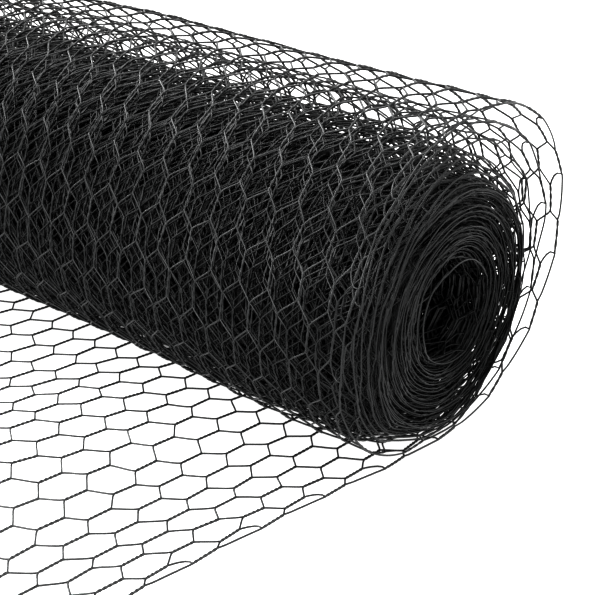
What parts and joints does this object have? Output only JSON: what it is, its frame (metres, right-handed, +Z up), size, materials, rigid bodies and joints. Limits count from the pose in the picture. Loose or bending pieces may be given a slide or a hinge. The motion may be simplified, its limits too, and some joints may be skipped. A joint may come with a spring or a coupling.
{
  "type": "roll of hexagonal wire netting",
  "caption": "Roll of black PVC-coated hexagonal wire netting lying on its side, wound on an open centre, with loose outer turns and a short length unrolled on the floor.",
  "frame": {"origin": "middle of the object's footprint, on the floor", "axes": "+X along the roll, across the netting's width; -Y the way the netting unrolls; +Z up"},
  "size_m": [0.6, 0.5014, 0.2432],
  "materials": {
    "coated_wire": "black PVC coating on galvanized steel wire, satin"
  },
  "bodies": {
    "root": {"netting_roll": "coated_wire"}
  },
  "joints": []
}
